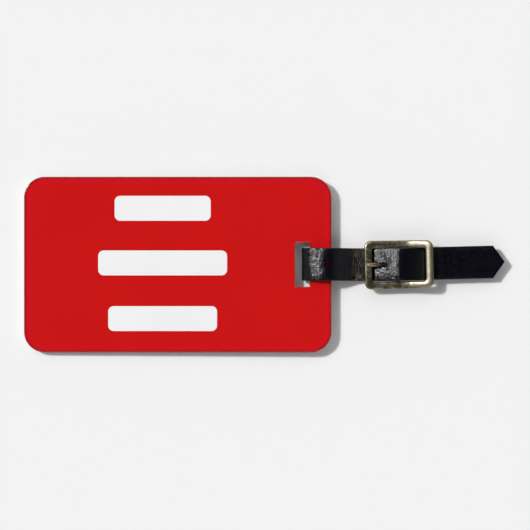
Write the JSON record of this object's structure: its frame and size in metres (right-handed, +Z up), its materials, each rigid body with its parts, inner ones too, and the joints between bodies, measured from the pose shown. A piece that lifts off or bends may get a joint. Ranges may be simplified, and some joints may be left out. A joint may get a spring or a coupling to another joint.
{
  "type": "luggage tag",
  "caption": "Card-size luggage tag with a red front print under a clear acrylic cover, on a black leather strap that passes through its slot and closes with a small brass buckle.",
  "frame": {"origin": "middle of the whole object's length and width, at the level of the surface that it lies on", "axes": "+X from the tag towards the strap's pointed end, +Y across the tag, +Z up out of the printed front"},
  "size_m": [0.139, 0.0508, 0.0066],
  "materials": {
    "clear_acrylic": "clear, polished",
    "white_card": "smooth, printed with plain rules",
    "white_core": "sawn edge, satin",
    "red_print": "even ink with plain white bars, under gloss",
    "black_leather": "fine grain, semi-gloss",
    "black_thread": "waxed thread",
    "antique_brass": "antiqued, polished on the high edges",
    "prong_brass": "antiqued, tip polished",
    "pin_steel": "dull"
  },
  "bodies": {
    "tag": {"back_cover": "clear_acrylic", "back_id_card": "white_card", "core_plate": "white_core", "front_print": "red_print", "front_cover": "clear_acrylic"},
    "slot_bend": {"strap_slot_bend": "black_leather"},
    "strap": {"strap_flex_upper": "black_leather", "strap_flex_lower": "black_leather", "strap_loop": "black_leather", "strap_free_run": "black_leather", "stitch_1": "black_thread", "stitch_2": "black_thread", "stitch_3": "black_thread"},
    "buckle": {"buckle_frame": "antique_brass", "buckle_pin": "pin_steel"},
    "prong": {"buckle_prong": "prong_brass"},
    "tail": {"strap_tail": "black_leather"}
  },
  "joints": [
    {"name": "strap_slide", "type": "slide", "parent": "tag", "child": "slot_bend", "axis": [0, 1, 0], "range_m": [-0.0015, 0.0015]},
    {"name": "tag_swing", "type": "hinge", "parent": "slot_bend", "child": "strap", "pos_m": [0.0231, 0, 0.0022], "axis": [0, 1, 0], "range_deg": [-60, 60], "deforming": ["strap_flex_upper", "strap_flex_lower"]},
    {"name": "buckle_rock", "type": "hinge", "parent": "strap", "child": "buckle", "pos_m": [0.0388, 0, 0.00325], "axis": [0, 1, 0], "range_deg": [-2.5, 3]},
    {"name": "prong_lift", "type": "hinge", "parent": "buckle", "child": "prong", "pos_m": [0.0388, 0, 0.00325], "axis": [0, 1, 0], "range_deg": [0, 5]},
    {"name": "tail_lift", "type": "hinge", "parent": "strap", "child": "tail", "pos_m": [0.0503, 0, 0.00334], "axis": [0, -1, 0], "range_deg": [0, 55]}
  ]
}
